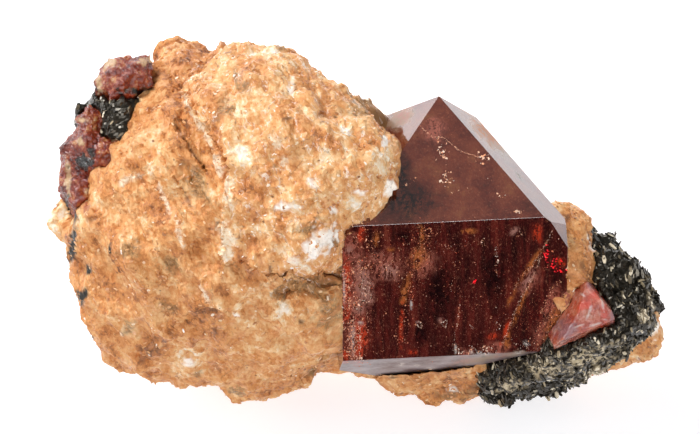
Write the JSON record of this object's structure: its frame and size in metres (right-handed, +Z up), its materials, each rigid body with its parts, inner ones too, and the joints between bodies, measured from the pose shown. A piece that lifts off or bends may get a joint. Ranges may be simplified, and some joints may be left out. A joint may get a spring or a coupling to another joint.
{
  "type": "zircon crystal",
  "caption": "Deep red tetragonal zircon crystal with pyramid ends, set in a loose lump of tan feldspar and calcite with black mica and smaller zircons.",
  "frame": {"origin": "on the surface that the specimen rests on, under the middle of its bounding box", "axes": "+X along the specimen from the matrix end to the mica end, +Z up from the flat base, -Y the side that the big crystal's front prism face looks towards"},
  "size_m": [0.0498, 0.0274, 0.0284],
  "materials": {
    "feldspar_calcite": "rough, broken grains",
    "zircon": "adamantine crystal faces",
    "pale_zircon": "glassy crystal faces",
    "biotite": "dark, glinting cleavage flakes"
  },
  "bodies": {
    "root": {"matrix_rock": "feldspar_calcite", "zircon_crystal": "zircon", "small_zircon_crystal": "pale_zircon", "upper_zircon_cluster": "pale_zircon", "lower_zircon_cluster": "pale_zircon", "right_mica": "biotite", "left_mica": "biotite"}
  },
  "joints": []
}
